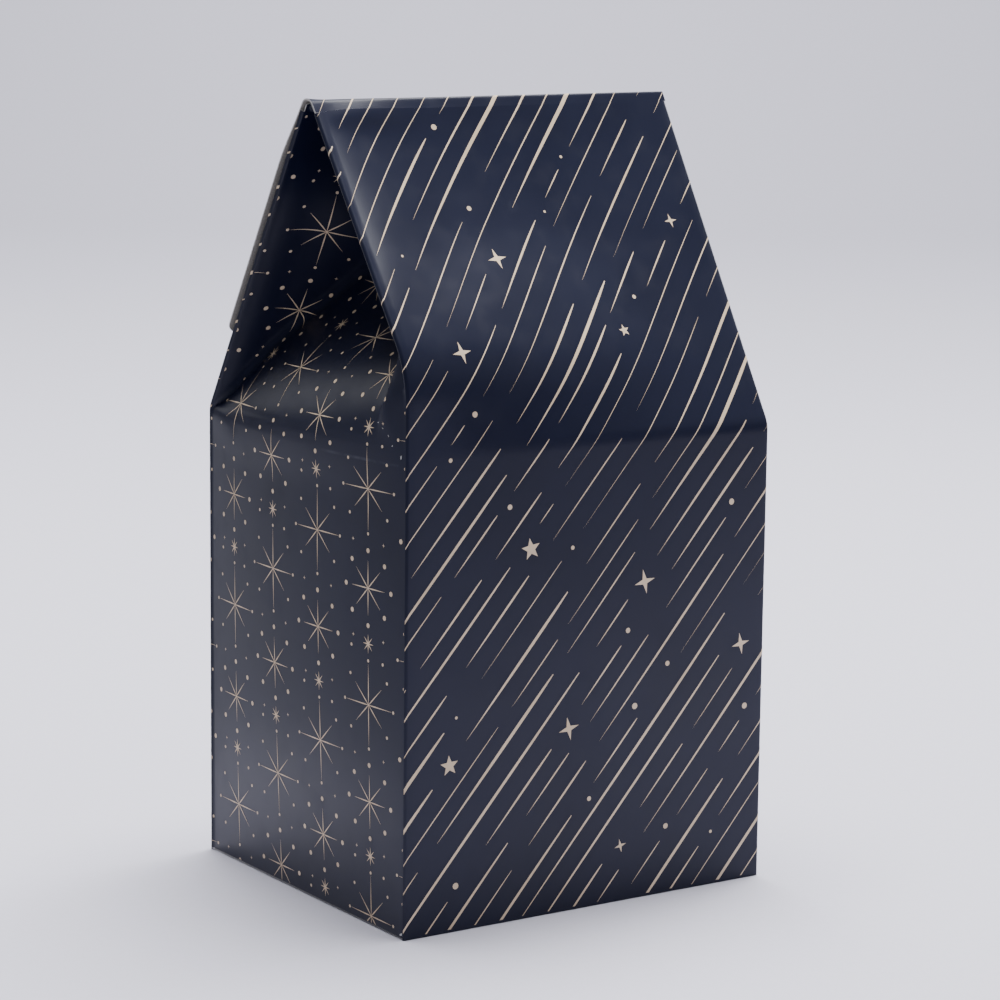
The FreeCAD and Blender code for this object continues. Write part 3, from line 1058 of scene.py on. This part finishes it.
def flat_print(name, marks):
    """Flat print on the blank, in millimetres, from rows of marks."""
    mesh = bpy.data.meshes.new(name)
    mesh.from_pydata([(u, q, 0) for _, u, q, _, _ in marks], [], [])
    for label, kind, column in (("kind", "INT", 0), ("turn", "FLOAT", 3)):
        attribute = mesh.attributes.new(label, kind, "POINT")
        attribute.data.foreach_set("value", [row[column] for row in marks])
    size = mesh.attributes.new("size", "FLOAT_VECTOR", "POINT")
    size.data.foreach_set("vector", [v for row in marks for v in row[4]])
    return grown(mesh, set_motifs, Motifs=motifs, Material=gold)


print("tree:", set_motifs.name, "with", len(set_motifs.nodes), "nodes")

# %% [markdown]
# A flat mark has to bend where the board bends. So the print is first cut along the sheet's own grid lines,
# and trimmed at the edges of its panel. A second tree then looks up each corner's place on the blank in the
# sheet's UV map, and moves it to the folded position, a few hundredths of a millimetre above the board. A
# Shrinkwrap would only push the marks on to the nearest face, and near a fold that is often the wrong one.

# %% Cut the flat print
def trimmed(mesh, low, high, columns, rows):
    """Cut a flat print to a rectangle of the blank and along the sheet's grid lines."""
    bm = bmesh.new()
    bm.from_mesh(mesh)
    # axis, place, and the side that is cleared: -1 before it, 1 past it and 0 neither
    cuts = [(0, low[0], -1), (0, high[0], 1), (1, low[1], -1), (1, high[1], 1)]
    cuts += [(0, u, 0) for u in columns if low[0] < u < high[0]]
    cuts += [(1, q, 0) for q in rows if low[1] < q < high[1]]
    for axis, at, clear in cuts:
        bmesh.ops.bisect_plane(
            bm, geom=bm.verts[:] + bm.edges[:] + bm.faces[:], dist=1e-5,
            plane_co=Vector((at, 0, 0) if axis == 0 else (0, at, 0)),
            plane_no=Vector((1, 0, 0) if axis == 0 else (0, 1, 0)),
            clear_inner=clear == -1, clear_outer=clear == 1,
        )
    bm.to_mesh(mesh)
    bm.free()
    return mesh


# %% Geometry Nodes: lay the print on the folded sheet
def lay_tree():
    """The tree that moves each corner from its place on the blank to the folded sheet."""
    tree = new_tree("Lay on the folded sheet", {"Sheet": "Object", "Lift": "Float", "Material": "Material"})
    source = add(tree, "NodeGroupInput").outputs
    sheet = add(tree, "GeometryNodeObjectInfo", Object=source["Sheet"]).outputs["Geometry"]
    scale, plus = {"operation": "SCALE"}, {"operation": "ADD"}
    flat = add(tree, "GeometryNodeInputPosition").outputs[0]
    on_blank = add(tree, "ShaderNodeVectorMath", scale, s0=flat, Scale=MM).outputs[0]
    folded_place, outwards = [
        add(
            tree, "GeometryNodeSampleUVSurface", {"data_type": "FLOAT_VECTOR"}, Mesh=sheet,
            Value=add(tree, kind).outputs[0], UV_Map=named(tree, "Sheet", "FLOAT_VECTOR"), Sample_UV=on_blank,
        ).outputs[0]
        for kind in ("GeometryNodeInputPosition", "GeometryNodeInputNormal")
    ]
    lift = add(tree, "ShaderNodeVectorMath", scale, s0=outwards, Scale=source["Lift"]).outputs[0]
    place = add(tree, "ShaderNodeVectorMath", plus, s0=folded_place, s1=lift).outputs[0]
    moved = add(tree, "GeometryNodeSetPosition", Geometry=source["Geometry"], Position=place)
    return finished(tree, moved.outputs[0], source["Material"])


lay_on_sheet = lay_tree()
print("tree:", lay_on_sheet.name, "with", len(lay_on_sheet.nodes), "nodes")


def laid(name, flat, sheet, material, lift=0.04):
    """The print as one plain piece on the folded sheet, lifted off it by this much."""
    mesh = grown(flat, lay_on_sheet, Sheet=sheet, Lift=lift * MM, Material=material)
    mesh.name = name
    mesh.materials.clear()      # the motifs' own empty slot goes with the others
    mesh.materials.append(material)
    print(name, len(mesh.polygons), "faces")
    return new_object(name, mesh)


# %% [markdown]
# Each panel gets its own print. That of a broad panel goes a little way round its folded edges, as on the
# real sheet. The print of a side stops just short of them, and below the ridge. Small spots on the left front
# edge and its foot have chipped to the white board, and they are laid on like print.

# %% Print the panels
GRID_U = sorted({round(float(u), 4) for strip in folded for u in strip[1]})
WRAP = 0.6           # how far a broad panel's print goes round its folded edges
SHORT = 0.1          # how far the print stops short of a bend


def panel_print(name, marks, left, right, high):
    """Flat print of one wall and what is above it, between these lines of the blank."""
    return trimmed(flat_print(name, marks), (left, FOOT + SHORT), (right, high), GRID_U, SHEET_ROWS)


def side_print(name, marks, first_u, high):
    """Flat print of one side, between the bends of its folded edges."""
    inner = HALF_FOLD + SHORT
    return panel_print(name, marks, first_u + inner, first_u + DEPTH - inner, high)


def joined(meshes):
    """One mesh of several."""
    bm = bmesh.new()
    for mesh in meshes:
        bm.from_mesh(mesh)
    return mesh_from(bm, "joined")


front_marks = streak_marks(FRONT_U, FLAP_END, seed=11)
back_marks = streak_marks(BACK_U, TOP, seed=23)
print("marks on the front and flap", len(front_marks), "and on the back", len(back_marks))
box_flat = joined([
    side_print("left", side_marks(0, False), 0, TOP - 1),
    side_print("right", side_marks(RIGHT_U, True), RIGHT_U, WING_TOPS["right"] - 2),
    panel_print("front", front_marks, FRONT_U - WRAP, RIGHT_U + WRAP, TOP - 0.01),
    panel_print("back", back_marks, BACK_U - WRAP, ROUND_U + WRAP, TOP - 0.01),
])
flap_flat = trimmed(
    flat_print("flap", front_marks), (FRONT_U + 0.2, TOP + 0.01), (RIGHT_U - 0.2, FLAP_END - 0.3),
    FRONT_U + WIDTH * FLAP_COLUMNS, FLAP_ROWS,
)
chip_flat = side_print("chips", chips(), 0, TOP - 1)
box_print = laid("gold_print", box_flat, box_sheet, gold)
flap_print = laid("gold_print_flap", flap_flat, flap_sheet, gold)
chip_spots = laid("chipped_spots", chip_flat, box_sheet, cut_edge, lift=0.06)

# %% [markdown]
# ## Give the board its thickness
# Print and sheet now agree, so the sheet can get its half millimetre. Solidify adds it inwards, so that the
# printed face stays where it is, and it can give the inner face and the cut edges finishes of their own. Both
# are bare board, the edges whiter.

# %% Thickness
def thickened(sheet, name):
    """The sheet with its thickness, as a plain piece with board, inner and edge finishes."""
    for material in (navy, inner_board, cut_edge):
        sheet.data.materials.append(material)
    solid = sheet.modifiers.new("board", "SOLIDIFY")
    solid.thickness, solid.offset = BOARD * MM, -1
    solid.use_even_offset = False
    solid.material_offset, solid.material_offset_rim = 1, 2
    mesh = applied(sheet)
    mesh.name = name
    mesh.set_sharp_from_angle(angle=math.radians(40))
    bpy.data.objects.remove(sheet)
    print(name, len(mesh.polygons), "faces")
    return new_object(name, mesh)


folded_box = thickened(box_sheet, "folded_carton")
folded_flap = thickened(flap_sheet, "closure_flap_board")
for leftover in list(motifs.objects):
    bpy.data.objects.remove(leftover)
bpy.data.collections.remove(motifs)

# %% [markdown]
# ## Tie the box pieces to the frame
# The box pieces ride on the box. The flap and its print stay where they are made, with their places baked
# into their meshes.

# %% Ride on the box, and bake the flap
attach(folded_box, "box")
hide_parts("carton")
for piece in (box_print, chip_spots):
    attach(piece, "box")
# the fold reaches this far to each side of the hinge line
fold_half = RIDGE * math.cos(slope_lean(BACK_RIGHT)) * MM
for piece in (folded_flap, flap_print):
    -fold_half
    HINGE * MM
    HINGE * MM
    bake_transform(piece)
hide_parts("closure_flap")
print("the ridge fold turns over", round(2 * fold_half / MM, 2), "mm")

# %% [markdown]
# ## Studio
# A pale sweep, which is a floor that curves up into the backdrop, leaves no horizon line. It is squared to
# the camera. The box stands on pale paper with a painted pool of light, a lighter patch, at the right. In
# front and at the left the paper has painted shade, darker patches, because satin board mirrors what it
# faces, and this keeps the walls deep and calm.

# %% Sweep
YAW = math.radians(-33.96)      # how far the camera, and the sweep with it, is turned from the box's front
SWEEP_HALF, SWEEP_NEAR, SWEEP_FAR, SWEEP_TOP = 6.0, -6.0, 2.2, 1.1
SWEEP_CURVE = 1.0               # radius of the bend from floor to backdrop


def sweep_paper():
    """Pale paper with painted light at the right, and painted shade in front and at the left.

    away is metres from the camera's side, and side is to the right.
    """
    paint = Paint("sweep_paper")
    tooth = paint.noise(3.0, 3.0)
    x, y = paint.parts(paint.where)
    away = y * math.cos(YAW) - x * math.sin(YAW)
    side = x * math.cos(YAW) + y * math.sin(YAW)
    paper = paint.blend(tooth.ramp(0.3, 0.7), (0.60, 0.592, 0.69, 1), (0.61, 0.602, 0.70, 1))
    # painted light: a lighter patch at the right stands for light pooling on the floor there
    paper = paint.blend((side - 0.15 * away).ramp(0.17, 0.27), paper, (0.70, 0.692, 0.80, 1))
    # painted shade: a darker patch at the left, so that the left wall mirrors less light
    paper = paint.blend((side + 0.15 * away).ramp(-0.205, -0.17), (0.30, 0.30, 0.34, 1), paper)
    # painted shade: darker paper in front, so that the front wall mirrors less light
    paper = paint.blend(away.ramp(-0.5, -0.2), (0.27, 0.27, 0.305, 1), paper)
    paint.set(Base_Color=paper, Roughness=0.75, Specular_IOR_Level=0.3)
    return paint.material


def studio_sweep():
    """The floor that curves up into the backdrop, squared to the camera."""
    turns = np.radians(np.linspace(0, 90, 25))[1:]
    profile = [(SWEEP_NEAR, 0.0), (SWEEP_FAR, 0.0)]
    profile += [(SWEEP_FAR + SWEEP_CURVE * math.sin(a), SWEEP_CURVE * (1 - math.cos(a))) for a in turns]
    profile.append((SWEEP_FAR + SWEEP_CURVE, SWEEP_TOP))
    right, away = Vector((math.cos(YAW), math.sin(YAW), 0)), Vector((-math.sin(YAW), math.cos(YAW), 0))
    bm = bmesh.new()
    rails = [
        [bm.verts.new(right * side + away * far + Vector((0, 0, up))) for far, up in profile]
        for side in (-SWEEP_HALF, SWEEP_HALF)
    ]
    for a, b, c, d in zip(rails[0], rails[1], rails[1][1:], rails[0][1:]):
        bm.faces.new((a, b, c, d)).smooth = True
    sweep = new_object("studio_sweep", mesh_from(bm, "studio_sweep"))
    sweep.data.materials.append(sweep_paper())
    return sweep


sweep = studio_sweep()
print("sweep", len(sweep.data.polygons), "faces")

# %% [markdown]
# One large soft light hangs overhead, a little behind the box, and four weaker ones shape it. A narrow one at
# the right draws the sheen on the roof panel and its fan, one in front opens the front wall, one behind and
# to the left lifts the left wall, and one lights the backdrop.

# %% Lights
def soft_light(name, at, towards, size, power, spread=180):
    """A rectangular light; a smaller spread in degrees narrows its beam."""
    light = bpy.data.lights.new(name, "AREA")
    light.shape, light.size, light.size_y = "RECTANGLE", *size
    light.energy, light.spread = power, math.radians(spread)
    lamp = new_object(name, light)
    lamp.location = at
    lamp.rotation_euler = (Vector(towards) - Vector(at)).to_track_quat("-Z", "Y").to_euler()


soft_light("main_light", (0.32, 0.28, 1.95), (0.1, 0.05, 0), (1.5, 1.35), 124)
soft_light("right_strip", (1.35, 0.35, 0.80), (0, 0, 0.19), (1.0, 0.7), 2.0, spread=60)
soft_light("front_fill", (1.0, -1.45, 1.1), (0, 0, 0.12), (1.4, 0.8), 1.4)
soft_light("back_left_light", (-1.0, 1.6, 0.75), (0, 0, 0.15), (1.2, 0.6), 2.6)
soft_light("backdrop_light", (1.25, 1.85, 1.5), (1.7, 2.6, 0.2), (1.4, 0.6), 20)
air = bpy.data.worlds.new("studio_air")
air.use_nodes = True
feed(air.node_tree, air.node_tree.nodes["Background"], {"Color": (0.93, 0.94, 1.0, 1), "Strength": 0.32})
bpy.context.scene.world = air

# %% [markdown]
# ## Camera
# The camera stands about a metre away, a little above the box and to the left of its front, with a long lens
# that keeps the upright edges nearly parallel.

# %% Camera
PITCH, ROLL = math.radians(9.77), math.radians(0.64)
DISTANCE = 1.0167
LENS, SENSOR = 119.0, 36        # both in millimetres
AIM_RIGHT, AIM_HEIGHT = 0.00469, 0.1151      # the point it looks at: right of the box's middle, and up
back_way = Vector((math.sin(YAW) * math.cos(PITCH), -math.cos(YAW) * math.cos(PITCH), math.sin(PITCH)))
right_way = Vector((math.cos(YAW), math.sin(YAW), 0))
up_way = back_way.cross(right_way)
turned_right = math.cos(ROLL) * right_way + math.sin(ROLL) * up_way
turned_up = math.cos(ROLL) * up_way - math.sin(ROLL) * right_way
eye = right_way * AIM_RIGHT + Vector((0, 0, AIM_HEIGHT)) + back_way * DISTANCE
camera = new_object("camera", bpy.data.cameras.new("camera"))
camera.data.lens, camera.data.sensor_width = LENS, SENSOR
camera.matrix_world = Matrix([*zip(turned_right, turned_up, back_way, eye), (0, 0, 0, 1)])
bpy.context.scene.camera = camera
print("camera at", [round(v, 3) for v in eye])
